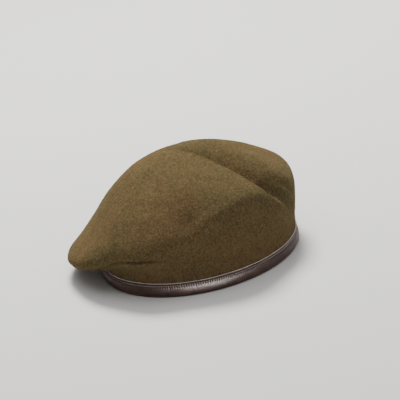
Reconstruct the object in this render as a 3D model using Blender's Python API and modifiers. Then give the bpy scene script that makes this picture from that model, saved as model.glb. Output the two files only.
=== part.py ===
"""Felt beret with a leather binding, modelled as an assembly of separate pieces.

Frame: +Z up, the plane of the head opening at z = 0, the origin at the opening's centre.
The wearer faces -Y and the crown is pulled down over the wearer's right side, towards -X.
Lengths in the constants and outlines are millimetres. Mesh points are metres.
"""
import math

import bmesh
import bpy
from mathutils import Vector

MM = 0.001

# Driving dimensions
RIM_HALF_X = 84.5        # middle of the felt at the head opening, half width
RIM_HALF_Y = 101.0       # the same, half length
CROWN_TOP = 105.0        # middle of the felt at the top of the crown
FELT = 2.4
LEATHER = 1.1
SATIN = 0.5
STIFFENER = 1.2
GAP = 0.3                # left between pieces that touch
AROUND = 48              # steps round the head opening, the same on every ring-shaped piece

# Crown: side profiles as (share of the opening's radius, height), rim to top
UPRIGHT = [(1.00, 5), (1.00, 10), (1.00, 16), (1.03, 33), (1.055, 50), (1.055, 66),
           (1.025, 76), (0.96, 82), (0.86, 86), (0.66, 92), (0.40, 99), (0.17, 104)]
BACK = [(1.00, 5), (1.00, 10), (1.00, 16), (1.04, 31), (1.06, 46), (1.055, 58),
        (1.02, 67), (0.95, 74), (0.85, 80), (0.65, 90), (0.40, 99), (0.17, 104)]
PULLED_DOWN = [(1.00, 5), (1.00, 10), (1.00, 17), (1.05, 19), (1.21, 12), (1.375, 12),
               (1.405, 18), (1.30, 28), (1.12, 46), (0.93, 67), (0.72, 87), (0.40, 102)]
LAPPED = [(1.00, 5), (1.00, 12), (1.00, 20), (1.045, 28), (1.105, 32.5), (1.155, 36.5),
          (1.17, 42), (1.12, 51), (1.01, 62), (0.83, 76), (0.60, 90.5), (0.30, 102)]
LOW_WALL = [(1.00, 5), (1.00, 10), (1.00, 16), (1.03, 29), (1.06, 40), (1.06, 50),
            (1.01, 59), (0.93, 68), (0.82, 78), (0.65, 90), (0.42, 98), (0.18, 103.5)]
CROWN_ROWS = 21
SMALL_SHARE = 0.004      # steps that a normal is measured over
SMALL_ANGLE = 0.5

# Stretches of azimuth, in degrees, over which one profile gives way to another
PULL_GROWS = (50.0, 185.0)
PULL_FADES = (203.0, 305.0)
BACK_GROWS = (-30.0, 50.0)
BACK_FADES = (90.0, 150.0)
LOW_GROWS = (196.0, 206.0)
LOW_FADES = (290.0, 345.0)
LAP_GROWS = (244.0, 264.0)
LAP_FADES = (268.0, 294.0)
RIDGE_FOOT = -2.0        # the wall is low again at the foot of the ridge
FOOT_WIDTH = 16.0
FOOT_SHARE = 0.7

# Ridge that runs from the top towards the wearer's left, with a valley behind it
RIDGE_START_Y = -9.5
RIDGE_SLOPE = -0.075
RIDGE_LEAN = 0.66        # how far the ridge runs back per millimetre down the side
RIDGE_CURL = 0.0045      # and per square millimetre
RIDGE_HEIGHT = 0.4
RIDGE_WIDTH = 9.0
RIDGE_DROP = 10.0        # how quickly the cloth falls away behind the ridge
VALLEY_DEPTH = 17.0
VALLEY_WIDTH = 58.0
VALLEY_EASE = 0.8        # how much shallower the valley is on the side wall
RIDGE_GROWS_X = (-38.0, 8.0)
RIDGE_GROWS_Z = (26.0, 62.0)
WALL_TOP = 80.0
WALL_FADES = (52.0, 90.0)

# Binding: visible face of the leather strip as (distance out from the felt, height)
BINDING_FACE = [(2.6, 13.5), (3.0, 11.0), (3.6, 6.0), (3.5, 3.1), (3.0, 1.5), (2.1, 0.45),
                (1.0, 0.0), (-1.0, 0.0), (-2.1, 0.45), (-3.1, 1.5), (-3.5, 3.1), (-3.5, 14.0)]
FACE_OUT = 2.95          # the outer face where the stitches pass
FACE_IN = -3.5           # the inner face
STITCH_HEIGHT = 11.3
THREAD_RADIUS = 0.35
THREAD_SIDES = 5
BACK_SEAM = [(3.75, 10.4), (4.35, 8.6), (4.25, 6.9)]

# Drawstring and the slot at the back where its knot sits
CORD_RADIUS = 1.0
CORD_SIDES = 6
CORD_HEIGHT = 2.7
KNOT_RADII = (3.4, 1.9, 1.5)
KNOT_OUT = 1.7
KNOT_HEIGHT = 3.0
SLOT_SIZE = (9.6, 6.0, 4.4)
SLOT_OUT = 3.4
SLOT_HEIGHT = 3.4

# Lining: side wall and tip as (share of the opening's radius, height)
LINING_INSET = 1.75
LINING = [(1.00, 7), (1.00, 13), (1.00, 20), (0.955, 24), (0.94, 35), (0.90, 48), (0.82, 61),
          (0.68, 69), (0.48, 75), (0.25, 78.5)]
LINING_TOP = 79.5
TIP_SEAM = 0.62          # where along the lining's profile the side wall meets the tip
TIP_START = 0.628
TIP_END = 0.93           # the last row before the tip's centre
SIDE_ROWS = 9
TIP_ROWS = 4

# Badge stiffener behind the felt, as ranges of the crown's columns and rows
STIFFENER_COLUMNS = (39, 46)
STIFFENER_ROWS = (5, 9)
STIFFENER_CLEARANCE = 0.8

# Ventilation eyelets, hidden below the pulled-down side
VENT_AZIMUTHS = {"front": 197.0, "rear": 165.0}
VENT_ALONG = 0.371
VENT_HOLE_RADIUS = 3.2
VENT_HOLE_DEPTH = 8.0
VENT_SEGMENTS = 16
# Closed outlines as (radius, height above the middle of the felt), down the outer side first
EYELET = [(3.2, 2.45), (4.6, 2.25), (5.0, 1.75), (2.9, 1.75), (2.9, -2.7), (3.3, -2.9),
          (3.5, -3.2), (3.1, -3.45), (2.6, -3.2), (2.4, -2.6), (2.4, 1.9), (2.7, 2.35)]
WASHER = [(3.3, -2.0), (4.5, -2.0), (4.7, -2.25), (4.5, -2.5), (3.3, -2.5)]

COLLECTION = "beret"
CUTTERS = "cutters"


# Materials

def material(name, color, roughness, metallic=0.0, sheen=0.0):
    made = bpy.data.materials.new(name)
    made.use_nodes = True
    shader = made.node_tree.nodes["Principled BSDF"]
    shader.inputs["Base Color"].default_value = (*color, 1.0)
    shader.inputs["Roughness"].default_value = roughness
    shader.inputs["Metallic"].default_value = metallic
    shader.inputs["Sheen Weight"].default_value = sheen
    return made


# Scene and object helpers

def clear_scene():
    for old in list(bpy.data.objects):
        bpy.data.objects.remove(old, do_unlink=True)


def collection(name):
    made = bpy.data.collections.new(name)
    bpy.context.scene.collection.children.link(made)
    return made


def add_object(name, data, group, surface=None):
    made = bpy.data.objects.new(name, data)
    group.objects.link(made)
    if surface:
        data.materials.append(surface)
    return made


def grid_mesh(name, rows, closed_round, closed_along=False, pole=None):
    """Quads between rows of points. A pole closes the last row with a fan."""
    shape = bmesh.new()
    made = [[shape.verts.new(point * MM) for point in row] for row in rows]
    across = len(rows[0]) if closed_round else len(rows[0]) - 1
    along = len(rows) if closed_along else len(rows) - 1
    for j in range(along):
        low, high = made[j], made[(j + 1) % len(rows)]
        for i in range(across):
            k = (i + 1) % len(low)
            shape.faces.new((low[i], low[k], high[k], high[i]))
    if pole:
        tip = shape.verts.new(pole * MM)
        for i in range(across):
            shape.faces.new((made[-1][i], made[-1][(i + 1) % len(made[-1])], tip))
    data = bpy.data.meshes.new(name)
    shape.to_mesh(data)
    shape.free()
    data.shade_smooth()
    return data


def solidify(piece, thickness):
    shell = piece.modifiers.new("thickness", "SOLIDIFY")
    shell.thickness = thickness * MM
    shell.offset = 0.0


# Curves shared by the pieces

def smooth(low, high, value):
    t = min(max((value - low) / (high - low), 0.0), 1.0)
    return t * t * (3.0 - 2.0 * t)


def rim_radius(azimuth):
    return 1.0 / math.hypot(math.cos(azimuth) / RIM_HALF_X, math.sin(azimuth) / RIM_HALF_Y)


def rim_point(azimuth, out, height):
    """A point beside the head opening's oval, `out` millimetres outside the middle of the felt."""
    along = Vector((RIM_HALF_X * math.cos(azimuth), RIM_HALF_Y * math.sin(azimuth), 0.0))
    normal = Vector((along.x / RIM_HALF_X ** 2, along.y / RIM_HALF_Y ** 2, 0.0)).normalized()
    return along + normal * out + Vector((0.0, 0.0, height))


def ring_angles():
    return [2.0 * math.pi * i / AROUND for i in range(AROUND)]


def spline(points, share):
    """Uniform cubic B-spline that starts and ends on the first and last points."""
    padded = [points[0]] * 2 + list(points) + [points[-1]] * 2
    place = share * (len(points) + 1)
    first = min(int(place), len(points))
    t = place - first
    weights = ((1 - t) ** 3 / 6, (3 * t ** 3 - 6 * t * t + 4) / 6,
               (-3 * t ** 3 + 3 * t * t + 3 * t + 1) / 6, t ** 3 / 6)
    return [sum(weights[k] * padded[first + k][axis] for k in range(4)) for axis in range(2)]


# Crown surface

def pull(degrees):
    """How far the crown is pulled down at this azimuth: 0 upright, 1 fully over."""
    degrees %= 360.0
    return min(smooth(*PULL_GROWS, degrees), 1.0 - smooth(*PULL_FADES, degrees))


def backness(degrees):
    near = (degrees + 180.0) % 360.0 - 180.0
    return smooth(*BACK_GROWS, near) * (1.0 - smooth(*BACK_FADES, near))


def lowness(degrees):
    """Where the side wall is low and the cloth slopes back from it: the front and the ridge's foot."""
    degrees %= 360.0
    front = smooth(*LOW_GROWS, degrees) * (1.0 - smooth(*LOW_FADES, degrees))
    near = (degrees + 180.0) % 360.0 - 180.0
    return front + FOOT_SHARE * math.exp(-((near - RIDGE_FOOT) / FOOT_WIDTH) ** 2)


def lap(degrees):
    """How far the pulled-down cloth laps over the upright cloth at the wearer's right front."""
    degrees %= 360.0
    return smooth(*LAP_GROWS, degrees) * (1.0 - smooth(*LAP_FADES, degrees))


def crown_profile(degrees):
    radius = rim_radius(math.radians(degrees))
    points = UPRIGHT
    for other, share in ((BACK, backness(degrees)), (LOW_WALL, lowness(degrees)),
                         (PULLED_DOWN, pull(degrees)), (LAPPED, lap(degrees))):
        points = [(x + (u - x) * share, z + (v - z) * share) for (x, z), (u, v) in zip(points, other)]
    return [(x * radius, z) for x, z in points] + [(0.0, CROWN_TOP)]


def plain_crown(degrees, share):
    out, height = spline(crown_profile(degrees), share)
    angle = math.radians(degrees)
    return Vector((out * math.cos(angle), out * math.sin(angle), height))


def crown_normal(degrees, share):
    low, high = max(share - SMALL_SHARE, 0.0), min(share + SMALL_SHARE, 1.0 - SMALL_SHARE)
    up = plain_crown(degrees, high) - plain_crown(degrees, low)
    around = plain_crown(degrees + SMALL_ANGLE, share) - plain_crown(degrees - SMALL_ANGLE, share)
    return around.cross(up).normalized()


def relief(point):
    """Height of the ridge and of the valley behind it above the plain surface."""
    fall = max(WALL_TOP - point.z, 0.0)
    ridge_y = RIDGE_START_Y + RIDGE_SLOPE * point.x + (RIDGE_LEAN + RIDGE_CURL * fall) * fall
    ahead = min(point.y - ridge_y, 0.0)
    behind = max(point.y - ridge_y, 0.0)
    ridge = RIDGE_HEIGHT * math.exp(-(ahead / RIDGE_WIDTH) ** 2 - behind / RIDGE_DROP)
    depth = VALLEY_DEPTH * (1.0 - VALLEY_EASE * (1.0 - smooth(*WALL_FADES, point.z)))
    valley = depth * (1.0 - math.exp(-behind / RIDGE_DROP)) * max(1.0 - behind / VALLEY_WIDTH, 0.0)
    return smooth(*RIDGE_GROWS_X, point.x) * smooth(*RIDGE_GROWS_Z, point.z) * (ridge - valley)


def crown_point(degrees, share, inset=0.0):
    point = plain_crown(degrees, share)
    return point + crown_normal(degrees, share) * (relief(point) - inset)


def crown_column(index):
    return 360.0 * index / AROUND


def crown_row(index):
    return index / CROWN_ROWS


# Pieces

def felt_crown(group, cutter_group):
    rows = [[crown_point(crown_column(i), crown_row(j)) for i in range(AROUND)]
            for j in range(CROWN_ROWS)]
    top = Vector((0.0, 0.0, CROWN_TOP))
    pole = top + Vector((0.0, 0.0, relief(top)))
    surface = material("felt", (0.115, 0.088, 0.038), 0.95, sheen=0.4)
    crown = add_object("felt_crown", grid_mesh("felt_crown", rows, True, pole=pole), group, surface)
    solidify(crown, FELT)
    for place, degrees in VENT_AZIMUTHS.items():
        cutter = vent_cutter(place, degrees, cutter_group)
        cut = crown.modifiers.new(f"vent_{place}", "BOOLEAN")
        cut.operation = "DIFFERENCE"
        cut.solver = "EXACT"
        cut.object = cutter
    return crown


def inner_face(face, thickness):
    """The hidden side of a folded strip, a thickness inside its visible side."""
    hidden = []
    for index, (out, height) in enumerate(face):
        before = Vector(face[max(index - 1, 0)])
        after = Vector(face[min(index + 1, len(face) - 1)])
        run = (after - before).normalized()
        hidden.append((out + run.y * thickness, height - run.x * thickness))
    return hidden


def leather_binding(group, cutter_group):
    outline = BINDING_FACE + inner_face(BINDING_FACE, LEATHER)[::-1]
    rows = [[rim_point(angle, out, height) for angle in ring_angles()] for out, height in reversed(outline)]
    surface = material("leather", (0.060, 0.028, 0.020), 0.38)
    mesh = grid_mesh("leather_binding", rows, True, closed_along=True)
    binding = add_object("leather_binding", mesh, group, surface)
    slot = slot_cutter(cutter_group)
    cut = binding.modifiers.new("slot", "BOOLEAN")
    cut.operation = "DIFFERENCE"
    cut.solver = "EXACT"
    cut.object = slot
    return binding


def slot_cutter(cutter_group):
    shape = bmesh.new()
    bmesh.ops.create_cube(shape, size=1.0)
    bmesh.ops.scale(shape, vec=Vector(SLOT_SIZE) * MM, verts=shape.verts)
    data = bpy.data.meshes.new("slot_cutter")
    shape.to_mesh(data)
    shape.free()
    cutter = add_object("slot_cutter", data, cutter_group)
    cutter.location = rim_point(math.pi / 2, SLOT_OUT, SLOT_HEIGHT) * MM
    return hide(cutter)


def hide(cutter):
    cutter.hide_render = True
    cutter.display_type = "WIRE"
    return cutter


def ring_mesh(name, out, height, radius, sides):
    """A closed cord of round section that follows the head opening's oval."""
    rows = []
    for side in range(sides):
        turn = 2.0 * math.pi * side / sides
        rows.append([rim_point(angle, out + radius * math.cos(turn), height + radius * math.sin(turn))
                     for angle in ring_angles()])
    return grid_mesh(name, rows, True, closed_along=True)


def drawstring(group, cutter_group):
    surface = material("cotton_cord", (0.035, 0.032, 0.030), 0.85)
    mesh = ring_mesh("drawstring", 0.0, CORD_HEIGHT, CORD_RADIUS, CORD_SIDES)
    cord = add_object("drawstring", mesh, group, surface)
    shape = bmesh.new()
    bmesh.ops.create_uvsphere(shape, u_segments=12, v_segments=8, radius=1.0)
    bmesh.ops.scale(shape, vec=Vector(KNOT_RADII) * MM, verts=shape.verts)
    data = bpy.data.meshes.new("drawstring_knot")
    shape.to_mesh(data)
    shape.free()
    knot = add_object("drawstring_knot", data, cutter_group)
    knot.location = rim_point(math.pi / 2, KNOT_OUT, KNOT_HEIGHT) * MM
    hide(knot)
    join = cord.modifiers.new("knot", "BOOLEAN")
    join.operation = "UNION"
    join.solver = "EXACT"
    join.object = knot
    return cord


def thread_ring(name, out, group, surface):
    mesh = ring_mesh(name, out, STITCH_HEIGHT, THREAD_RADIUS, THREAD_SIDES)
    return add_object(name, mesh, group, surface)


def back_seam_thread(group, surface):
    """Upright stitches that close the binding's ends at the back, above the slot."""
    points = [rim_point(math.pi / 2, out, height) for out, height in BACK_SEAM]
    curve = bpy.data.curves.new("back_seam_thread", "CURVE")
    curve.dimensions = "3D"
    curve.bevel_depth = THREAD_RADIUS * MM
    curve.bevel_resolution = 1
    curve.use_fill_caps = True
    run = curve.splines.new("POLY")
    run.points.add(len(points) - 1)
    for place, point in zip(run.points, points):
        place.co = (*(point * MM), 1.0)
    return add_object("back_seam_thread", curve, group, surface)


def lining_point(angle, share):
    radius = rim_radius(angle) - LINING_INSET
    profile = [(out * radius, height) for out, height in LINING] + [(0.0, LINING_TOP)]
    out, height = spline(profile, share)
    return Vector((out * math.cos(angle), out * math.sin(angle), height))


def lining_rows(start, end, count):
    shares = [start + (end - start) * j / (count - 1) for j in range(count)]
    return [[lining_point(angle, share) for angle in ring_angles()] for share in shares]


def lining(group):
    surface = material("satin", (0.030, 0.027, 0.024), 0.35, sheen=0.2)
    side_mesh = grid_mesh("lining_side", lining_rows(0.0, TIP_SEAM, SIDE_ROWS), True)
    side = add_object("lining_side", side_mesh, group, surface)
    solidify(side, SATIN)
    tip_rows = lining_rows(TIP_START, TIP_END, TIP_ROWS)
    pole = Vector((0.0, 0.0, LINING_TOP))
    tip = add_object("lining_tip", grid_mesh("lining_tip", tip_rows, True, pole=pole), group, surface)
    solidify(tip, SATIN)


def badge_stiffener(group):
    inset = FELT / 2 + STIFFENER_CLEARANCE + STIFFENER / 2
    first_column, last_column = STIFFENER_COLUMNS
    first_row, last_row = STIFFENER_ROWS
    rows = [[crown_point(crown_column(i), crown_row(j), inset)
             for i in range(first_column, last_column + 1)] for j in range(first_row, last_row + 1)]
    surface = material("stiffener", (0.300, 0.270, 0.200), 0.80)
    plate = add_object("badge_stiffener", grid_mesh("badge_stiffener", rows, False), group, surface)
    solidify(plate, STIFFENER)


# Ventilation eyelets

def vent_frame(degrees):
    """Centre of a vent on the middle of the felt, and the turn that lays +Z along the felt's normal."""
    normal = crown_normal(degrees, VENT_ALONG)
    return crown_point(degrees, VENT_ALONG) * MM, normal.to_track_quat("Z", "Y")


def place_at_vent(piece, degrees):
    piece.location, turn = vent_frame(degrees)
    piece.rotation_mode = "QUATERNION"
    piece.rotation_quaternion = turn
    return piece


def vent_cutter(place, degrees, cutter_group):
    shape = bmesh.new()
    bmesh.ops.create_cone(shape, cap_ends=True, segments=VENT_SEGMENTS, depth=VENT_HOLE_DEPTH * MM,
                          radius1=VENT_HOLE_RADIUS * MM, radius2=VENT_HOLE_RADIUS * MM)
    data = bpy.data.meshes.new(f"vent_cutter_{place}")
    shape.to_mesh(data)
    shape.free()
    cutter = add_object(f"vent_cutter_{place}", data, cutter_group)
    return hide(place_at_vent(cutter, degrees))


def turned(name, outline, group, surface):
    """A closed outline of (radius, height) turned about Z. It runs down its outer side."""
    data = bpy.data.meshes.new(name)
    points = [(radius * MM, 0.0, height * MM) for radius, height in outline]
    edges = [(i, (i + 1) % len(points)) for i in range(len(points))]
    data.from_pydata(points, edges, [])
    piece = add_object(name, data, group, surface)
    screw = piece.modifiers.new("turn", "SCREW")
    screw.steps = VENT_SEGMENTS
    screw.render_steps = VENT_SEGMENTS
    screw.use_merge_vertices = True
    screw.merge_threshold = 0.00001
    return piece


def vents(group):
    surface = material("eyelet_metal", (0.060, 0.055, 0.048), 0.42, metallic=0.9)
    for place, degrees in VENT_AZIMUTHS.items():
        place_at_vent(turned(f"vent_eyelet_{place}", EYELET, group, surface), degrees)
        place_at_vent(turned(f"vent_washer_{place}", WASHER, group, surface), degrees)


def main():
    clear_scene()
    group = collection(COLLECTION)
    cutter_group = collection(CUTTERS)
    thread = material("thread", (0.030, 0.016, 0.012), 0.60)
    felt_crown(group, cutter_group)
    leather_binding(group, cutter_group)
    drawstring(group, cutter_group)
    thread_ring("needle_thread", FACE_OUT + GAP + THREAD_RADIUS, group, thread)
    thread_ring("bobbin_thread", FACE_IN - GAP - THREAD_RADIUS, group, thread)
    back_seam_thread(group, thread)
    lining(group)
    badge_stiffener(group)
    vents(group)


main()
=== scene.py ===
"""Looks of the felt beret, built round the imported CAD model.

Lengths in the constants and outlines are millimetres in the CAD frame: +Z up, the head
opening's plane at z = 0, the wearer's front towards -Y, the crown pulled down towards -X.
"""
import math

import bpy
import numpy as np
from mathutils import Matrix, Vector, noise


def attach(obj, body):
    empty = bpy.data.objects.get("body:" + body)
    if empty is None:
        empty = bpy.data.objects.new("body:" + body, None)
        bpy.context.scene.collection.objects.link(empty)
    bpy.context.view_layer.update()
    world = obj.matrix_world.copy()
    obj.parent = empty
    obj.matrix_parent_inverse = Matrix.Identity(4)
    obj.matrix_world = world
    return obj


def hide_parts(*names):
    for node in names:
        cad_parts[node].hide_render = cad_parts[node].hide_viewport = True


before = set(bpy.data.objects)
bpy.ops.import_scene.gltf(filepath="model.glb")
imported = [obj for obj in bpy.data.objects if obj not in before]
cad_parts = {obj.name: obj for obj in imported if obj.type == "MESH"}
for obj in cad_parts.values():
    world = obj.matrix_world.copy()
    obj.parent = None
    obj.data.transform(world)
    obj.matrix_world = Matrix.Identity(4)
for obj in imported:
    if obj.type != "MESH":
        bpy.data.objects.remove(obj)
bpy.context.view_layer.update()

MM = 0.001
BODY = "root"

# Shared with the CAD model
RIM_HALF_X = 84.5
RIM_HALF_Y = 101.0
CROWN_TOP = 105.0
FELT = 2.4
UPRIGHT = [(1.00, 5), (1.00, 10), (1.00, 16), (1.03, 33), (1.055, 50), (1.055, 66),
           (1.025, 76), (0.96, 82), (0.86, 86), (0.66, 92), (0.40, 99), (0.17, 104)]
BACK = [(1.00, 5), (1.00, 10), (1.00, 16), (1.04, 31), (1.06, 46), (1.055, 58),
        (1.02, 67), (0.95, 74), (0.85, 80), (0.65, 90), (0.40, 99), (0.17, 104)]
PULLED_DOWN = [(1.00, 5), (1.00, 10), (1.00, 17), (1.05, 19), (1.21, 12), (1.375, 12),
               (1.405, 18), (1.30, 28), (1.12, 46), (0.93, 67), (0.72, 87), (0.40, 102)]
LAPPED = [(1.00, 5), (1.00, 12), (1.00, 20), (1.045, 28), (1.105, 32.5), (1.155, 36.5),
          (1.17, 42), (1.12, 51), (1.01, 62), (0.83, 76), (0.60, 90.5), (0.30, 102)]
LOW_WALL = [(1.00, 5), (1.00, 10), (1.00, 16), (1.03, 29), (1.06, 40), (1.06, 50),
            (1.01, 59), (0.93, 68), (0.82, 78), (0.65, 90), (0.42, 98), (0.18, 103.5)]
PULL_GROWS = (50.0, 185.0)
PULL_FADES = (203.0, 305.0)
BACK_GROWS = (-30.0, 50.0)
BACK_FADES = (90.0, 150.0)
LOW_GROWS = (196.0, 206.0)
LOW_FADES = (290.0, 345.0)
LAP_GROWS = (244.0, 264.0)
LAP_FADES = (268.0, 294.0)
RIDGE_FOOT = -2.0
FOOT_WIDTH = 16.0
FOOT_SHARE = 0.7
LINING_INSET = 1.75
LINING = [(1.00, 7), (1.00, 13), (1.00, 20), (0.955, 24), (0.94, 35), (0.90, 48), (0.82, 61),
          (0.68, 69), (0.48, 75), (0.25, 78.5)]
LINING_TOP = 79.5
TIP_SEAM = 0.62
STIFFENER_AZIMUTHS = (292.5, 345.0)
STIFFENER_SHARES = (0.238, 0.429)
STIFFENER_CLEARANCE = 0.8
STIFFENER = 1.2
VENT_AZIMUTHS = {"front": 197.0, "rear": 165.0}
VENT_ALONG = 0.371

# Crown mesh
CROWN_COLUMNS = 640
CROWN_ROWS = 240
INNER_ROWS = 130
NAP = 0.13               # unevenness of the fulled surface
NAP_SEED = 3
NAP_STARTS_Z = (13.0, 16.0)
NAP_STARTS_RADIUS = (2.0, 12.0)
POLE_RADIUS = 25.0       # inside it the relief is measured more and more straight up
LAST_ROW = 0.985         # share of the way up the profile where the rows stop and the fan starts

# Ridge from the top towards the wearer's left, the valley behind it, and a second ridge
RIDGE_START_Y = -9.5
RIDGE_SLOPE = -0.075
RIDGE_LEAN = 0.66
RIDGE_CURL = 0.0045
WALL_TOP = 80.0
WALL_FADES = (52.0, 90.0)
RIDGE_HEIGHT = 0.4
RIDGE_WIDTH = 9.0
RIDGE_DROP = 7.0
VALLEY_DEPTH = 34.0
VALLEY_WIDTH = 42.0
VALLEY_CURVE = 1.7       # how much faster the cloth rises at the valley's bottom than further back
VALLEY_EASE = 0.80       # how much shallower the valley is on the side wall
RIDGE_GROWS_X = (-30.0, 16.0)
RIDGE_GROWS_Z = (26.0, 62.0)
SECOND_RIDGE = 22.0      # distance behind the first, on the side wall
SECOND_HEIGHT = 2.5
SECOND_WIDTH = 5.0

# Slow unevenness of the worn felt away from the binding: height, size and seed of each layer
UNEVENNESS = [(1.6, 48.0, 1), (0.7, 21.0, 2), (0.10, 4.0, 3)]
UNEVEN_ABOVE = (14.0, 24.0)
UNEVEN_OUTSIDE = (95.0, 102.0)
SWELL = 0.6              # how far the felt swells out just above the binding
SWELL_GROWS = (12.0, 14.5)
SWELL_FADES = (18.0, 26.0)

# Dents in the front slope: x, y, z, radius and depth
DENTS = [(42, -86, 66, 10, 2.2), (24, -86, 74, 22, 2.2)]

# Crease below the pulled-down cloth at the wearer's right front
CREASE_AZIMUTH = 275.0
CREASE_HEIGHT = 39.5
CREASE_FALL = 0.018
CREASE_DEPTH = 3.2
CREASE_WIDTH = 1.3
CREASE_GROWS = (244.0, 253.0)
CREASE_FADES = (278.0, 291.0)

# Stiff panel at the wearer's left front
PANEL_AZIMUTH = 330.0
PANEL_HEIGHT = 76.0
PANEL_FALL = 0.014
PANEL_GROWS = (296.0, 310.0)
PANEL_FADES = (346.0, 358.0)
PANEL_LIP = (1.2, 2.0, 6.0)        # height, distance below the panel's edge, width
PANEL_HOLLOW = (1.6, 26.0, 15.0)   # depth, distance below the panel's edge, width
PANEL_HOLLOW_STARTS = (16.0, 30.0)

# Vent holes: outline of the cutter as (radius, height)
VENT_HOLE = [(0.001, -6.0), (3.1, -6.0), (3.1, 6.0), (0.001, 6.0)]
VENT_HOLE_STEPS = 40
VENT_STEPS = 56

# Leather binding: visible face as (distance out from the middle of the felt, height)
BINDING_FACE = [(3.0, 13.5), (3.05, 12.9), (2.75, 11.2), (3.15, 9.6), (3.85, 7.6), (4.15, 5.4),
                (4.0, 3.0), (3.2, 1.2), (2.0, 0.15), (0.8, 0.0), (-0.8, 0.0), (-2.0, 0.15),
                (-3.0, 1.3), (-3.5, 3.2), (-3.5, 8.0), (-3.25, 11.4), (-3.5, 12.9), (-3.5, 14.0)]
CUT_EDGE_BOTTOM = 13.2
LEATHER = 1.1
FACE_STEPS = 46
STITCHES = 272
STEPS_PER_STITCH = 8
STITCH_HEIGHT = 11.0
HOLE_DEPTH = 0.80
# Half height and steps of the painted shade round each stitch hole
HOLE_SHADE_HALF_HEIGHT = 1.6
HOLE_REACH = 1.5         # how far above and below its middle a hole draws the leather in
HOLE_SHADE_STEPS = 2           # steps on each side of the hole's middle that get the painted shade
PUCKER_DEPTH = 0.07      # how far the leather is drawn in below each stitch
PUCKER_BELOW = 2.2
PUCKER_REACH = 1.6
EDGE_DENT = (0.12, 13.5, 1.0)      # depth, height and reach of the dent in the upper edge
THREAD_RADIUS = 0.30
THREAD_STEPS = 10        # steps of thread to each stitch
THREAD_DIP = 1.4
THREAD_DIP_WIDTH = 0.17
THREAD_PROUD = 0.16
THREAD_LEAN = 0.12
LAP_ANGLE = 4.5          # degrees that the strip's ends overlap at the back
LAP_LIFT = 0.55
LEATHER_WAVE = 0.22
LEATHER_CREASE = 0.35
BACK_SEAM = [(-1.3, 7.0), (1.3, 7.7), (-1.3, 8.4), (1.3, 9.1), (-1.3, 9.8)]

CORD_RADIUS = 1.0
CORD_HEIGHT = 2.7
KNOT_OUT = 2.2
KNOT_HEIGHT = 3.1
KNOT_SCALE = (0.85, 0.75, 0.36)
KNOT_CORD_RADIUS = 0.72  # the cord is squeezed thinner in the knot
SLOT_SIZE = (9.0, 6.0, 4.0)
SLOT_OUT = 3.6
SLOT_HEIGHT = 3.3
SLOT_ROUNDING = 1.4

SATIN = 0.4
LINING_COLUMNS = 320
SEAM_HEIGHT = 65.5       # height of the gathered seam between the lining's two pieces
GATHERS = 34.0
GATHER_HEIGHT = 0.45
GATHER_WIDTH = 9.0


# Small numeric helpers

def smooth(low, high, value):
    t = np.clip((value - low) / (high - low), 0.0, 1.0)
    return t * t * (3.0 - 2.0 * t)


def bump(value, middle, width):
    return np.exp(-((value - middle) / width) ** 2)


def unit(vectors):
    return vectors / np.maximum(np.linalg.norm(vectors, axis=-1, keepdims=True), 1e-12)


def spline_weights(shares, count):
    """Weights of a uniform cubic B-spline that starts and ends on its first and last points."""
    place = np.asarray(shares) * (count + 1)
    first = np.minimum(place.astype(int), count)
    t = place - first
    parts = ((1 - t) ** 3 / 6, (3 * t ** 3 - 6 * t * t + 4) / 6,
             (-3 * t ** 3 + 3 * t * t + 3 * t + 1) / 6, t ** 3 / 6)
    weights = np.zeros((len(place), count))
    for k, part in enumerate(parts):
        column = np.clip(first + k - 2, 0, count - 1)
        np.add.at(weights, (np.arange(len(place)), column), part)
    return weights


def ripple(points, size, seed):
    """Smooth noise in -1..1 with features about `size` millimetres wide."""
    shift = Vector((seed * 17.3, seed * 5.1, seed * 9.7))
    flat = points.reshape(-1, 3) / size
    values = [noise.noise(Vector(p) + shift) for p in flat]
    return np.array(values).reshape(points.shape[:-1])


# Curves shared by the pieces

def rim_radius(angles):
    return 1.0 / np.hypot(np.cos(angles) / RIM_HALF_X, np.sin(angles) / RIM_HALF_Y)


def rim_points(angles, out, height):
    """Points beside the head opening's oval, `out` millimetres outside the middle of the felt."""
    angles, out, height = np.broadcast_arrays(angles, out, height)
    x, y = RIM_HALF_X * np.cos(angles), RIM_HALF_Y * np.sin(angles)
    normal = unit(np.stack([x / RIM_HALF_X ** 2, y / RIM_HALF_Y ** 2], -1))
    return np.stack([x + normal[..., 0] * out, y + normal[..., 1] * out, height], -1)


def even_angles(count):
    """Angles that step evenly along the binding's face, starting at the back."""
    fine = np.linspace(0.0, 2.0 * math.pi, 4001) + math.pi / 2
    line = rim_points(fine, 3.0, 0.0)
    length = np.concatenate([[0.0], np.cumsum(np.linalg.norm(np.diff(line, axis=0), axis=1))])
    return np.interp(np.arange(count) / count * length[-1], length, fine)


# Meshes

def grid_faces(rows, columns, start=0, wrap_rows=False, wrap_columns=True):
    j, i = np.meshgrid(np.arange(rows if wrap_rows else rows - 1),
                       np.arange(columns if wrap_columns else columns - 1), indexing="ij")
    right, above = (i + 1) % columns, (j + 1) % rows
    quads = np.stack([j * columns + i, j * columns + right,
                      above * columns + right, above * columns + i], -1)
    return (quads.reshape(-1, 4) + start).tolist()


def add_piece(name, points, faces, *surfaces):
    data = bpy.data.meshes.new(name)
    data.from_pydata((np.asarray(points).reshape(-1, 3) * MM).tolist(), [], faces)
    data.shade_smooth()
    for surface in surfaces:
        data.materials.append(surface)
    piece = bpy.data.objects.new(name, data)
    bpy.context.scene.collection.objects.link(piece)
    return piece


def fan(row, tip):
    return [(row[i], row[(i + 1) % len(row)], tip) for i in range(len(row))]


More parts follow.
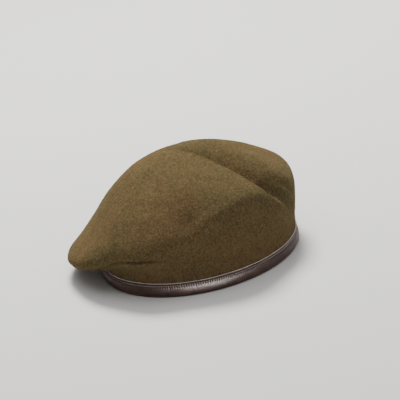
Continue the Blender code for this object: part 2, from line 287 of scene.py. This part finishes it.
def shell(name, outer, inner, outer_tip, inner_tip, *surfaces):
    """A closed dome with an outer and an inner grid of points that share their lower edge's columns."""
    rows, columns = outer.shape[:2]
    inner_rows = inner.shape[0]
    start = rows * columns
    faces = grid_faces(rows, columns)
    faces += [f[::-1] for f in grid_faces(inner_rows, columns, start)]
    faces += [(start + i, start + (i + 1) % columns, (i + 1) % columns, i) for i in range(columns)]
    tip = start + inner_rows * columns
    faces += fan([(rows - 1) * columns + i for i in range(columns)], tip)
    inner_top = [start + (inner_rows - 1) * columns + i for i in range(columns)]
    faces += [f[::-1] for f in fan(inner_top, tip + 1)]
    points = np.concatenate([outer.reshape(-1, 3), inner.reshape(-1, 3), [outer_tip, inner_tip]])
    return add_piece(name, points, faces, *surfaces)


def tube_parts(centres, radius, sides, up, closed):
    """Points and faces of a tube along a line. An open tube has flat ends."""
    if closed:
        tangent = unit(np.roll(centres, -1, 0) - np.roll(centres, 1, 0))
    else:
        tangent = unit(np.gradient(centres, axis=0))
    side = unit(np.cross(tangent, up))
    top = np.cross(side, tangent)
    turn = 2.0 * math.pi * np.arange(sides) / sides
    radius = np.broadcast_to(radius, len(centres))[:, None, None]
    ring = side[:, None] * np.cos(turn)[:, None] + top[:, None] * np.sin(turn)[:, None]
    points = (centres[:, None] + radius * ring).reshape(-1, 3)
    faces = grid_faces(len(centres), sides, wrap_rows=closed)
    if not closed:
        faces += [tuple(range(sides))[::-1], tuple(range((len(centres) - 1) * sides, len(centres) * sides))]
    return points, [tuple(f)[::-1] for f in faces]


def join_parts(name, parts, *surfaces):
    points, faces, start = [], [], 0
    for some_points, some_faces in parts:
        points.append(some_points)
        faces += [tuple(index + start for index in face) for face in some_faces]
        start += len(some_points)
    return add_piece(name, np.concatenate(points), faces, *surfaces)


def cut(piece, cutter):
    """Takes the cutter out of the piece for good and removes the cutter."""
    modifier = piece.modifiers.new("cut", "BOOLEAN")
    modifier.operation = "DIFFERENCE"
    modifier.solver = "MANIFOLD"
    modifier.object = cutter
    bpy.context.view_layer.update()
    evaluated = piece.evaluated_get(bpy.context.evaluated_depsgraph_get())
    done = bpy.data.meshes.new_from_object(evaluated)
    piece.modifiers.clear()
    piece.data = done
    bpy.data.objects.remove(cutter)


def settle(piece, slot, *nodes):
    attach(piece, BODY)
    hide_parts(*nodes)
    return piece


# Crown surface

def pull(degrees):
    """How far the crown is pulled down at each azimuth: 0 upright, 1 fully over."""
    return np.minimum(smooth(*PULL_GROWS, degrees), 1.0 - smooth(*PULL_FADES, degrees))


def backness(degrees):
    near = (degrees + 180.0) % 360.0 - 180.0
    return smooth(*BACK_GROWS, near) * (1.0 - smooth(*BACK_FADES, near))


def lowness(degrees):
    """Where the side wall is low and the cloth slopes back from it: the front and the ridge's foot."""
    front = smooth(*LOW_GROWS, degrees) * (1.0 - smooth(*LOW_FADES, degrees))
    near = (degrees + 180.0) % 360.0 - 180.0
    return front + FOOT_SHARE * bump(near, RIDGE_FOOT, FOOT_WIDTH)


def lap(degrees):
    """How far the pulled-down cloth laps over the upright cloth at the wearer's right front."""
    return smooth(*LAP_GROWS, degrees) * (1.0 - smooth(*LAP_FADES, degrees))


def plain_crown(degrees, shares):
    """Middle surface of the felt before its folds: rows up the profile, columns round the crown."""
    degrees = np.asarray(degrees, float) % 360.0
    profile = np.tile(np.array(UPRIGHT), (len(degrees), 1, 1))
    for other, share in ((BACK, backness(degrees)), (LOW_WALL, lowness(degrees)),
                         (PULLED_DOWN, pull(degrees)), (LAPPED, lap(degrees))):
        profile += (other - profile) * share[:, None, None]
    angles = np.radians(degrees)
    profile[..., 0] *= rim_radius(angles)[:, None]
    top = np.broadcast_to([0.0, CROWN_TOP], (len(degrees), 1, 2))
    profile = np.concatenate([profile, top], 1)
    line = np.einsum("sk,dkc->sdc", spline_weights(shares, profile.shape[1]), profile)
    return np.stack([line[..., 0] * np.cos(angles), line[..., 0] * np.sin(angles), line[..., 1]], -1)


def grid_normals(points):
    around = np.roll(points, -1, 1) - np.roll(points, 1, 1)
    return unit(np.cross(around, np.gradient(points, axis=0)))


def sheet_normals(points):
    """Like grid_normals, for a patch that does not run right round the crown."""
    return unit(np.cross(np.gradient(points, axis=1), np.gradient(points, axis=0)))


def ridges(x, y, z):
    fall = np.maximum(WALL_TOP - z, 0.0)
    across = y - (RIDGE_START_Y + RIDGE_SLOPE * x + (RIDGE_LEAN + RIDGE_CURL * fall) * fall)
    ahead, behind = np.minimum(across, 0.0), np.maximum(across, 0.0)
    on_wall = 1.0 - smooth(*WALL_FADES, z)
    ridge = RIDGE_HEIGHT * np.exp(-(ahead / RIDGE_WIDTH) ** 2 - behind / RIDGE_DROP)
    rise = np.maximum(1.0 - behind / VALLEY_WIDTH, 0.0) ** VALLEY_CURVE
    valley = VALLEY_DEPTH * (1.0 - np.exp(-(behind / RIDGE_DROP) ** 2)) * rise
    second = SECOND_HEIGHT * bump(across, SECOND_RIDGE, SECOND_WIDTH) * on_wall
    grown = smooth(*RIDGE_GROWS_X, x) * smooth(*RIDGE_GROWS_Z, z)
    return grown * (ridge - valley * (1.0 - VALLEY_EASE * on_wall) + second)


def dents(points):
    height = 0.0
    for x, y, z, radius, depth in DENTS:
        height = height - depth * np.exp(-((points - (x, y, z)) ** 2).sum(-1) / radius ** 2)
    return height


def stiff_panel(degrees, z):
    edge = PANEL_HEIGHT - PANEL_FALL * (degrees - PANEL_AZIMUTH) ** 2
    gate = smooth(*PANEL_GROWS, degrees) * (1.0 - smooth(*PANEL_FADES, degrees))
    high, below, width = PANEL_LIP
    lip = high * bump(z, edge - below, width)
    deep, below, width = PANEL_HOLLOW
    hollow = deep * bump(z, edge - below, width) * smooth(*PANEL_HOLLOW_STARTS, z)
    return gate * (lip - hollow)


def crease(degrees, z):
    gate = smooth(*CREASE_GROWS, degrees) * (1.0 - smooth(*CREASE_FADES, degrees))
    middle = CREASE_HEIGHT - CREASE_FALL * (degrees - CREASE_AZIMUTH) ** 2
    return -CREASE_DEPTH * gate * bump(z, middle, CREASE_WIDTH)


def relief(points, degrees):
    """Folds, dents and the slight unevenness of worn felt, as height above the plain surface."""
    x, y, z = points[..., 0], points[..., 1], points[..., 2]
    free = smooth(*UNEVEN_ABOVE, z) + smooth(*UNEVEN_OUTSIDE, np.hypot(x, y))
    free = np.minimum(free, 1.0)
    height = ridges(x, y, z) + stiff_panel(degrees, z) + crease(degrees, z) + dents(points)
    for amount, size, seed in UNEVENNESS:
        height += free * amount * ripple(points, size, seed)
    return height + SWELL * smooth(*SWELL_GROWS, z) * (1.0 - smooth(*SWELL_FADES, z))


def crown_grid(rows):
    shares = np.linspace(0.0, LAST_ROW, rows)
    degrees = 360.0 * np.arange(CROWN_COLUMNS) / CROWN_COLUMNS
    points = plain_crown(degrees, shares)
    normals = grid_normals(points)
    normals[..., :2] *= smooth(0.0, POLE_RADIUS, np.hypot(points[..., 0], points[..., 1]))[..., None]
    return points, unit(normals), relief(points, degrees[None])


def felt_crown():
    points, normals, height = crown_grid(CROWN_ROWS)
    rough = np.random.default_rng(NAP_SEED).uniform(-1.0, 1.0, height.shape)
    nap = NAP * rough * smooth(*NAP_STARTS_Z, points[..., 2])
    nap *= smooth(*NAP_STARTS_RADIUS, np.hypot(points[..., 0], points[..., 1]))
    outer = points + normals * (height + nap + FELT / 2)[..., None]
    points, normals, height = crown_grid(INNER_ROWS)
    inner = points + normals * (height - FELT / 2)[..., None]
    outer_tip, inner_tip = outer[-1].mean(0), inner[-1].mean(0)
    crown = shell("felt_crown_skin", outer, inner, outer_tip, inner_tip, felt_material())
    for degrees in VENT_AZIMUTHS.values():
        cut(crown, vent_cutter(degrees))
    crown.data.shade_smooth()
    return settle(crown, "felt", "felt_crown")


def badge_stiffener():
    """A curved plate of buckram sewn behind the felt where a badge would be worn."""
    degrees, shares = np.linspace(*STIFFENER_AZIMUTHS, 60), np.linspace(*STIFFENER_SHARES, 40)
    points = plain_crown(degrees, shares)
    normals = sheet_normals(points)
    height = relief(points, degrees[None])[..., None]
    outer = points + normals * (height - FELT / 2 - STIFFENER_CLEARANCE)
    inner = outer - normals * STIFFENER
    rows, columns = outer.shape[:2]
    start = rows * columns
    faces = grid_faces(rows, columns, wrap_columns=False)
    faces += [face[::-1] for face in grid_faces(rows, columns, start, wrap_columns=False)]
    border = [i for i in range(columns)] + [j * columns + columns - 1 for j in range(1, rows)]
    border += [start - 1 - i for i in range(1, columns)] + [j * columns for j in range(rows - 2, 0, -1)]
    for here, following in zip(border, border[1:] + border[:1]):
        faces.append((here + start, following + start, following, here))
    plate = add_piece("badge_stiffener_buckram", np.concatenate([outer, inner]), faces, buckram_material())
    return settle(plate, "stiffener", "badge_stiffener")


# Ventilation eyelets

def vent_frame(degrees):
    """Turns and moves a shape modelled round +Z onto the felt at a vent. Lengths in millimetres."""
    around = np.array([degrees - 1.0, degrees, degrees + 1.0])
    patch = plain_crown(around, [VENT_ALONG - 0.01, VENT_ALONG, VENT_ALONG + 0.01])
    patch = patch + sheet_normals(patch) * relief(patch, around[None])[..., None]
    turn = Vector(sheet_normals(patch)[1, 1]).to_track_quat("Z", "Y").to_matrix().to_4x4()
    return Matrix.Translation(Vector(patch[1, 1])) @ turn


def turned_parts(outline, steps):
    """A closed outline of (radius, height) turned about Z, as points and faces."""
    turn = 2.0 * math.pi * np.arange(steps) / steps
    outline = np.array(outline, float)
    points = np.stack([outline[:, :1] * np.cos(turn), outline[:, :1] * np.sin(turn),
                       np.repeat(outline[:, 1:], steps, 1)], -1)
    return points.reshape(-1, 3), [f[::-1] for f in grid_faces(len(outline), steps, wrap_rows=True)]


def moved(parts, matrix):
    points, faces = parts
    return np.array([matrix @ Vector(p) for p in points]), faces


def vent_cutter(degrees):
    points, faces = moved(turned_parts(VENT_HOLE, VENT_HOLE_STEPS), vent_frame(degrees))
    return add_piece("vent_cutter", points, [f[::-1] for f in faces])


def arc(centre, radius, start, end, steps):
    turn = np.radians(np.linspace(start, end, steps))
    return [(centre[0] + radius * math.cos(t), centre[1] + radius * math.sin(t)) for t in turn]


def vents():
    surface = metal_material()
    flange = arc((4.55, 1.65), 0.42, 70, -90, 7) + [(3.4, 1.25), (2.95, 1.15)]
    roll = arc((2.95, -2.2), 0.5, 60, -200, 10)
    bore = [(2.45, -1.9), (2.4, 1.0)] + arc((3.1, 1.45), 0.72, 170, 100, 5) + [(3.8, 2.2)]
    eyelet = flange + [(2.95, -1.7)] + roll + bore
    washer = [(3.3, -1.25), (4.3, -1.25)] + arc((4.4, -1.5), 0.25, 80, -80, 5)
    washer += [(4.3, -1.75), (3.3, -1.75)]
    for place, degrees in VENT_AZIMUTHS.items():
        for kind, outline in (("eyelet", eyelet), ("washer", washer)):
            parts = moved(turned_parts(outline, VENT_STEPS), vent_frame(degrees))
            piece = join_parts(f"vent_{kind}_{place}_turned", [parts], surface)
            settle(piece, "eyelet_metal", f"vent_{kind}_{place}")


# Leather binding

def inner_face(face, thickness):
    run = unit(np.gradient(face, axis=0))
    return face + np.stack([run[:, 1], -run[:, 0]], -1) * thickness


def binding_outline():
    shares = np.linspace(0.0, 1.0, FACE_STEPS)
    face = spline_weights(shares, len(BINDING_FACE)) @ np.array(BINDING_FACE)
    return face, inner_face(face, LEATHER)


def lap_step(angles):
    """Height of the upper end of the strip where the two ends overlap at the back."""
    degrees = np.degrees(angles) - 90.0
    degrees = (degrees + 180.0) % 360.0 - 180.0
    fades = smooth(LAP_ANGLE - 2.0, LAP_ANGLE + 2.0, degrees)
    return LAP_LIFT * smooth(-0.25, 0.0, degrees) * (1.0 - fades)


def binding_rows(angles):
    face, hidden = binding_outline()
    phase = 2.0 * math.pi * np.arange(len(angles)) / STEPS_PER_STITCH
    hole = np.maximum(np.cos(phase), 0.0) ** 3
    drawn_in = 0.5 + 0.5 * np.cos(phase)
    edge_depth, edge_height, edge_reach = EDGE_DENT
    rows = []
    for visible, side in ((1.0, face), (0.0, hidden[::-1])):
        for out, height in side:
            dent = HOLE_DEPTH * bump(height, STITCH_HEIGHT, HOLE_REACH) * hole
            pucker = bump(height, STITCH_HEIGHT - PUCKER_BELOW, PUCKER_REACH)
            dent = dent + PUCKER_DEPTH * pucker * drawn_in
            dent = dent + edge_depth * bump(height, edge_height, edge_reach) * hole
            outward = 1.0 if out > 0 else -1.0
            rows.append(rim_points(angles, out - outward * visible * dent, height))
    rows = np.array(rows)
    wave = ripple(rows * [1.0, 1.0, 1.6], 13.0, 5)
    creases = np.maximum(ripple(rows * [1.0, 1.0, 0.25], 3.2, 6) - 0.25, 0.0)
    lift = LEATHER_WAVE * wave - LEATHER_CREASE * creases
    fades = smooth(0.3, 3.0, rows[..., 2])[..., None]
    centre = rim_points(angles, 0.0, 0.0)
    normal = unit(rim_points(angles, 1.0, 0.0) - centre)
    outside = ((rows - centre) * normal).sum(-1, keepdims=True) > 0.0
    shift = (lift[..., None] * fades) * np.where(outside, 1.0, -0.4)
    shift = shift + lap_step(angles)[:, None] * fades * outside
    return rows + normal * shift


def leather_binding():
    angles = even_angles(STITCHES * STEPS_PER_STITCH)
    rows = binding_rows(angles)[::-1]
    faces = grid_faces(len(rows), len(angles), wrap_rows=True)
    # The third material is the painted shade of the stitch holes
    binding = add_piece("leather_binding_strip", rows, faces, leather_material(), cut_edge_material(),
                        hole_shade_material())
    paint_binding(binding, len(angles))
    corner = add_piece("slot_cutter", *slot_box())
    rounding = corner.modifiers.new("round", "BEVEL")
    rounding.width = SLOT_ROUNDING * MM
    rounding.segments = 5
    cut(binding, corner)
    return settle(binding, "leather", "leather_binding")


def slot_box():
    centre = rim_points(math.pi / 2, SLOT_OUT, SLOT_HEIGHT)
    corners = [[x, y, z] for x in (-0.5, 0.5) for y in (-0.5, 0.5) for z in (-0.5, 0.5)]
    points = centre + np.array(corners) * SLOT_SIZE
    faces = [(0, 1, 3, 2), (4, 6, 7, 5), (0, 4, 5, 1), (2, 3, 7, 6), (0, 2, 6, 4), (1, 5, 7, 3)]
    return points, faces


def paint_binding(binding, columns):
    """The strip's raw upper edges are paler than its dyed faces, and the faces round each stitch hole get
    painted shade.
    """
    faces = binding.data.polygons
    height = np.array([face.center.z for face in faces]) / MM
    step = np.arange(len(faces)) % columns % STEPS_PER_STITCH
    surface = np.where(height > CUT_EDGE_BOTTOM, 1, 0)
    hole_shade_faces = (step < HOLE_SHADE_STEPS) | (step >= STEPS_PER_STITCH - HOLE_SHADE_STEPS)
    # painted shade: the faces round each stitch hole take the near-black hole material
    surface[hole_shade_faces & (np.abs(height - STITCH_HEIGHT) < HOLE_SHADE_HALF_HEIGHT)] = 2
    faces.foreach_set("material_index", surface)


def stitch_line(name, out, inward, slot_node):
    """One thread that dips into the leather between stitches."""
    angles = even_angles(STITCHES * THREAD_STEPS)
    phase = np.arange(len(angles)) % THREAD_STEPS / THREAD_STEPS
    dip = np.maximum(bump(phase, 0.0, THREAD_DIP_WIDTH), bump(phase, 1.0, THREAD_DIP_WIDTH))
    lean = THREAD_LEAN * np.sin(2.0 * math.pi * phase)
    depth = THREAD_DIP * dip - THREAD_PROUD
    centres = rim_points(angles, out + inward * depth, STITCH_HEIGHT + lean)
    parts = tube_parts(centres, THREAD_RADIUS, 8, np.array([0.0, 0.0, 1.0]), closed=True)
    return settle(join_parts(name, [parts], thread_material()), "thread", slot_node)


def back_seam_thread():
    fine = spline_weights(np.linspace(0.0, 1.0, 60), len(BACK_SEAM)) @ np.array(BACK_SEAM)
    out = 3.9 - 0.33 * (fine[:, 1] - 8.0) * (fine[:, 1] > 8.0) + 0.35
    centre = rim_points(math.pi / 2, 0.0, 0.0)
    line = np.stack([centre[0] + fine[:, 0], centre[1] + out, fine[:, 1]], -1)
    parts = tube_parts(line, THREAD_RADIUS, 8, np.array([0.0, 1.0, 0.0]), closed=False)
    return settle(join_parts("back_seam_stitches", [parts], thread_material()), "thread", "back_seam_thread")


# Drawstring

def drawstring():
    upright = np.array([0.0, 0.0, 1.0])
    line = rim_points(even_angles(360), 0.0, CORD_HEIGHT)
    ring = tube_parts(line, CORD_RADIUS, 10, upright, True)
    turn = np.linspace(0.0, 2.0 * math.pi, 120, endpoint=False)
    loop = np.stack([np.sin(turn) + 2.0 * np.sin(2.0 * turn), -0.9 * np.sin(3.0 * turn),
                     np.cos(turn) - 2.0 * np.cos(2.0 * turn)], -1) * KNOT_SCALE
    centre = rim_points(math.pi / 2, KNOT_OUT, KNOT_HEIGHT)
    knot = tube_parts(centre + loop, KNOT_CORD_RADIUS, 10, np.array([0.0, 1.0, 0.001]), True)
    parts = [ring, knot]
    for side in (-1.0, 1.0):
        reach = np.linspace(0.0, 1.0, 12)
        tail = np.stack([side * (1.6 + 2.0 * reach), 0.8 - 1.6 * reach ** 2, -0.5 * reach], -1)
        parts.append(tube_parts(centre + tail, KNOT_CORD_RADIUS, 10, upright, False))
    return settle(join_parts("drawstring_cord", parts, cord_material()), "cotton_cord", "drawstring")


# Lining

def lining_grid(start, end, rows):
    angles = np.radians(360.0 * np.arange(LINING_COLUMNS) / LINING_COLUMNS)
    profile = np.array(LINING + [(0.0, LINING_TOP)], float)
    line = spline_weights(np.linspace(start, end, rows), len(profile)) @ profile
    out = line[:, :1] * (rim_radius(angles) - LINING_INSET)
    height = np.broadcast_to(line[:, 1:], out.shape)
    return np.stack([out * np.cos(angles), out * np.sin(angles), height], -1)


def lining_wrinkles(points):
    angles = np.arctan2(points[..., 1], points[..., 0])
    folds = np.sin(angles * GATHERS + 2.2 * np.sin(angles * 5.0))
    gather = folds * bump(points[..., 2], SEAM_HEIGHT, GATHER_WIDTH)
    loose = smooth(22.0, 34.0, points[..., 2])
    return GATHER_HEIGHT * gather + loose * (0.9 * ripple(points * [1.0, 1.0, 0.55], 26.0, 8) - 0.7)


def lining_piece(name, start, end, rows, with_tip, node):
    points = lining_grid(start, end, rows)
    points = points + grid_normals(points) * lining_wrinkles(points)[..., None]
    inner = points - grid_normals(points) * SATIN
    if with_tip:
        piece = shell(name, points, inner, points[-1].mean(0), inner[-1].mean(0), satin_material())
    else:
        loop = np.concatenate([points, inner[::-1]])
        piece = add_piece(name, loop, grid_faces(len(loop), loop.shape[1], wrap_rows=True), satin_material())
    return settle(piece, "satin", node)


def lining():
    side = lining_piece("lining_side_satin", 0.0, TIP_SEAM, 70, False, "lining_side")
    tip = lining_piece("lining_tip_satin", TIP_SEAM + 0.006, 0.97, 50, True, "lining_tip")


# Materials

class Nodes:
    """Short calls for building one material's node tree."""

    def __init__(self, name):
        self.material = bpy.data.materials.new(name)
        self.material.use_nodes = True
        self.tree = self.material.node_tree
        self.shader = self.tree.nodes["Principled BSDF"]
        self.place = self.add("ShaderNodeTexCoord").outputs["Object"]

    def add(self, kind, **settings):
        node = self.tree.nodes.new(kind)
        for key, value in settings.items():
            setattr(node, key, value)
        return node

    def wire(self, source, node, socket):
        self.tree.links.new(source, node.inputs[socket])

    def values(self, **values):
        for name, value in values.items():
            self.shader.inputs[name.replace("_", " ")].default_value = value

    def noise(self, scale, detail=3.0, roughness=0.5, distortion=0.0, place=None):
        node = self.add("ShaderNodeTexNoise")
        node.inputs["Scale"].default_value = scale
        node.inputs["Detail"].default_value = detail
        node.inputs["Roughness"].default_value = roughness
        node.inputs["Distortion"].default_value = distortion
        self.wire(place or self.place, node, "Vector")
        return node.outputs["Fac"]

    def voronoi(self, scale, feature="F1"):
        node = self.add("ShaderNodeTexVoronoi", feature=feature)
        node.inputs["Scale"].default_value = scale
        self.wire(self.place, node, "Vector")
        return node.outputs["Distance"]

    def math(self, operation, first, second):
        node = self.add("ShaderNodeMath", operation=operation)
        for index, value in enumerate((first, second)):
            if isinstance(value, (int, float)):
                node.inputs[index].default_value = value
            else:
                self.wire(value, node, index)
        return node.outputs[0]

    def span(self, value, low, high, new_low=0.0, new_high=1.0):
        node = self.add("ShaderNodeMapRange")
        names = ("From Min", "From Max", "To Min", "To Max")
        for name, number in zip(names, (low, high, new_low, new_high)):
            node.inputs[name].default_value = number
        self.wire(value, node, "Value")
        return node.outputs[0]

    def mix(self, factor, first, second):
        node = self.add("ShaderNodeMix", data_type="RGBA")
        for socket, value in ((0, factor), (6, first), (7, second)):
            if isinstance(value, (int, float)):
                node.inputs[socket].default_value = value
            elif isinstance(value, tuple):
                node.inputs[socket].default_value = (*value, 1.0)
            else:
                self.wire(value, node, socket)
        return node.outputs[2]

    def stretched(self, x, y, z):
        node = self.add("ShaderNodeMapping")
        node.inputs["Scale"].default_value = (x, y, z)
        self.wire(self.place, node, "Vector")
        return node.outputs[0]

    def color(self, source):
        self.wire(source, self.shader, "Base Color")

    def roughness(self, source):
        self.wire(source, self.shader, "Roughness")

    def bumps(self, *layers):
        """Each layer is (height, distance in millimetres, strength)."""
        normal = None
        for height, distance, strength in layers:
            node = self.add("ShaderNodeBump")
            node.inputs["Distance"].default_value = distance * MM
            node.inputs["Strength"].default_value = strength
            self.wire(height, node, "Height")
            if normal is not None:
                self.wire(normal, node, "Normal")
            normal = node.outputs["Normal"]
        self.wire(normal, self.shader, "Normal")


def felt_material():
    make = Nodes("wool_felt")
    tone = make.span(make.noise(16.0, 3.0, 0.55), 0.35, 0.65)
    color = make.mix(tone, FELT_GREEN, FELT_BROWN)
    patches = make.span(make.noise(75.0, 4.0, 0.6), 0.35, 0.68)
    color = make.mix(make.math("MULTIPLY", patches, 0.45), color, FELT_LIGHT)
    speckle = make.noise(560.0, 3.0, 0.65, 0.5)
    color = make.mix(make.span(speckle, 0.42, 0.62, 0.0, 0.64), color, FELT_DARK)
    pale = make.span(make.noise(620.0, 2.0, 0.5, 0.9), 0.52, 0.68, 0.0, 0.55)
    color = make.mix(pale, color, FELT_FIBRE)
    lint = make.math("LESS_THAN", make.voronoi(58.0), 0.026)
    color = make.mix(make.math("MULTIPLY", lint, 0.55), color, FELT_LINT)
    make.color(color)
    make.values(Roughness=1.0, Sheen_Weight=0.13, Sheen_Roughness=0.28, Sheen_Tint=(0.62, 0.51, 0.24, 1.0),
                Specular_IOR_Level=0.03)
    make.bumps((make.noise(260.0, 4.0, 0.6), 1.0, 0.35), (make.noise(1300.0, 3.0, 0.7, 0.6), 0.5, 0.55))
    return make.material


def leather_material():
    make = Nodes("binding_leather")
    tone = make.span(make.noise(60.0, 4.0, 0.6), 0.35, 0.68)
    color = make.mix(tone, LEATHER_DARK, LEATHER_BROWN)
    grain = make.voronoi(1050.0, "DISTANCE_TO_EDGE")
    pores = make.span(make.noise(1500.0, 3.0, 0.6), 0.45, 0.7, 0.0, 0.35)
    color = make.mix(pores, color, LEATHER_PORE)
    make.color(color)
    make.roughness(make.span(make.noise(190.0, 4.0, 0.6), 0.3, 0.7, 0.34, 0.50))
    make.values(Specular_IOR_Level=0.25)
    wrinkle = make.noise(330.0, 3.0, 0.55, 0.4, make.stretched(1.0, 1.0, 0.35))
    make.bumps((wrinkle, 0.35, 0.5), (make.span(grain, 0.0, 0.12), 0.10, 0.45))
    return make.material


def cut_edge_material():
    make = Nodes("leather_cut_edge")
    color = make.mix(make.span(make.noise(700.0, 4.0, 0.7), 0.35, 0.65), EDGE_DARK, EDGE_PALE)
    make.color(color)
    make.values(Roughness=0.85)
    make.bumps((make.noise(1600.0, 3.0, 0.7), 0.3, 0.6))
    return make.material


def hole_shade_material():
    # Painted shade: a near-black colour stands for the shade inside and round each stitch hole
    make = Nodes("leather_stitch_hole_painted_shade")
    make.color(make.mix(make.noise(900.0, 2.0, 0.5), HOLE_PAINTED_SHADE, LEATHER_PORE))
    make.values(Roughness=0.9, Specular_IOR_Level=0.15)
    return make.material


def thread_material():
    make = Nodes("waxed_thread")
    strands = make.noise(1500.0, 2.0, 0.5, 0.3)
    make.color(make.mix(make.span(strands, 0.35, 0.65), THREAD_DARK, THREAD_LIGHT))
    make.values(Roughness=0.55)
    make.bumps((strands, 0.12, 0.6))
    return make.material


def cord_material():
    make = Nodes("braided_cord")
    braid = make.add("ShaderNodeTexWave", wave_type="BANDS", bands_direction="DIAGONAL")
    braid.inputs["Scale"].default_value = 260.0
    braid.inputs["Distortion"].default_value = 1.2
    make.wire(make.place, braid, "Vector")
    make.color(make.mix(braid.outputs["Fac"], CORD_DARK, CORD_LIGHT))
    make.values(Roughness=0.85, Sheen_Weight=0.2)
    make.bumps((braid.outputs["Fac"], 0.3, 0.7))
    return make.material


def satin_material():
    make = Nodes("lining_satin")
    weave = make.noise(2200.0, 2.0, 0.5, 0.0, make.stretched(1.0, 1.0, 0.15))
    tone = make.span(make.noise(35.0, 3.0, 0.5), 0.35, 0.65)
    make.color(make.mix(tone, SATIN_DARK, SATIN_LIGHT))
    make.roughness(make.span(weave, 0.3, 0.7, 0.30, 0.44))
    make.values(Sheen_Weight=0.15, Sheen_Roughness=0.3)
    make.bumps((weave, 0.15, 0.5))
    return make.material


def buckram_material():
    make = Nodes("buckram")
    weave = make.add("ShaderNodeTexChecker")
    weave.inputs["Scale"].default_value = 1100.0
    make.wire(make.place, weave, "Vector")
    make.color(make.mix(weave.outputs["Fac"], BUCKRAM_DARK, BUCKRAM_LIGHT))
    make.values(Roughness=0.85)
    make.bumps((weave.outputs["Fac"], 0.2, 0.5))
    return make.material


def metal_material():
    make = Nodes("bronzed_metal")
    wear = make.span(make.noise(420.0, 4.0, 0.65), 0.45, 0.68)
    make.color(make.mix(wear, METAL_DARK, METAL_WORN))
    make.roughness(make.span(make.noise(900.0, 3.0, 0.6), 0.3, 0.7, 0.28, 0.5))
    make.values(Metallic=0.9)
    make.bumps((make.noise(700.0, 3.0, 0.6), 0.08, 0.4))
    return make.material


def ground_material():
    make = Nodes("pale_ground")
    make.color(make.mix(make.noise(0.8, 2.0, 0.5), GROUND_A, GROUND_B))
    make.values(Roughness=0.95, Specular_IOR_Level=0.1)
    return make.material


# Colours, linear RGB
FELT_GREEN = (0.073, 0.059, 0.0245)
FELT_BROWN = (0.108, 0.066, 0.0280)
FELT_LIGHT = (0.132, 0.090, 0.0400)
FELT_DARK = (0.030, 0.022, 0.0095)
FELT_FIBRE = (0.158, 0.117, 0.0600)
FELT_LINT = (0.372, 0.336, 0.258)
LEATHER_DARK = (0.031, 0.0115, 0.0070)
LEATHER_BROWN = (0.070, 0.0255, 0.0140)
LEATHER_PORE = (0.016, 0.008, 0.005)
# painted shade of the stitch holes
HOLE_PAINTED_SHADE = (0.006, 0.003, 0.002)
EDGE_DARK = (0.480, 0.400, 0.310)
EDGE_PALE = (0.800, 0.740, 0.640)
THREAD_DARK = (0.090, 0.050, 0.038)
THREAD_LIGHT = (0.190, 0.120, 0.092)
CORD_DARK = (0.018, 0.016, 0.014)
CORD_LIGHT = (0.060, 0.054, 0.048)
SATIN_DARK = (0.014, 0.012, 0.011)
SATIN_LIGHT = (0.026, 0.023, 0.020)
BUCKRAM_DARK = (0.220, 0.195, 0.140)
BUCKRAM_LIGHT = (0.360, 0.320, 0.240)
METAL_DARK = (0.055, 0.045, 0.035)
METAL_WORN = (0.300, 0.230, 0.140)
GROUND_A = (0.600, 0.600, 0.592)
GROUND_B = (0.620, 0.620, 0.612)


# Camera, light and floor

VIEW_AZIMUTH = 32.0
VIEW_ELEVATION = 20.0
VIEW_ROLL = -8.1
VIEW_DISTANCE = 2600.0
VIEW_LENS = 250.0
AIM_RIGHT = 5.7
AIM_UP = 50.3
FLOOR_HALF = 9000.0
FLOOR_GAP = 0.2
WORLD_STRENGTH = 0.30


def view_axes():
    """The view's right, up and backward directions."""
    azimuth, elevation = math.radians(VIEW_AZIMUTH), math.radians(VIEW_ELEVATION)
    right = Vector((math.cos(azimuth), math.sin(azimuth), 0.0))
    back = Vector((math.sin(azimuth) * math.cos(elevation), -math.cos(azimuth) * math.cos(elevation),
                   math.sin(elevation)))
    return right, back.cross(right), back


def camera():
    right, up, back = view_axes()
    data = bpy.data.cameras.new("camera")
    data.lens = VIEW_LENS
    made = bpy.data.objects.new("camera", data)
    bpy.context.scene.collection.objects.link(made)
    turn = Matrix((right, up, back)).transposed().to_4x4()
    aim = (right * AIM_RIGHT + up * AIM_UP) * MM
    made.matrix_world = (Matrix.Translation(aim + back * VIEW_DISTANCE * MM) @ turn
                         @ Matrix.Rotation(math.radians(VIEW_ROLL), 4, "Z"))
    bpy.context.scene.camera = made


def area_light(name, place, size, power, color=(1.0, 1.0, 1.0), diffuse=True, glossy=True):
    data = bpy.data.lights.new(name, "AREA")
    data.shape = "DISK"
    data.size = size
    data.energy = power
    data.color = color
    made = bpy.data.objects.new(name, data)
    bpy.context.scene.collection.objects.link(made)
    made.location = place
    made.rotation_euler = (Vector((0.0, 0.0, 0.05)) - Vector(place)).to_track_quat("-Z", "Y").to_euler()
    made.visible_diffuse = diffuse
    made.visible_glossy = glossy


def lighting():
    world = bpy.data.worlds.new("studio")
    world.use_nodes = True
    backdrop = world.node_tree.nodes["Background"]
    backdrop.inputs["Color"].default_value = (1.0, 1.0, 1.0, 1.0)
    backdrop.inputs["Strength"].default_value = WORLD_STRENGTH
    bpy.context.scene.world = world
    area_light("key", (-0.60, 0.85, 1.65), 0.7, 82.0, (1.0, 0.98, 0.95))
    area_light("overhead", (0.00, -0.20, 2.00), 2.4, 27.0, glossy=False)
    area_light("glint", (1.10, -0.90, 0.50), 0.60, 150.0, (1.0, 0.89, 0.84), diffuse=False)


def ground():
    signs = [(-1, -1), (1, -1), (1, 1), (-1, 1)]
    corners = [(x * FLOOR_HALF, y * FLOOR_HALF, -FLOOR_GAP) for x, y in signs]
    floor = add_piece("floor", corners, [(0, 1, 2, 3)], ground_material())


camera()
lighting()
ground()
felt_crown()
vents()
leather_binding()
stitch_line("stitches_outside", 2.95, -1.0, "needle_thread")
stitch_line("stitches_inside", -3.52, 1.0, "bobbin_thread")
back_seam_thread()
drawstring()
lining()
badge_stiffener()
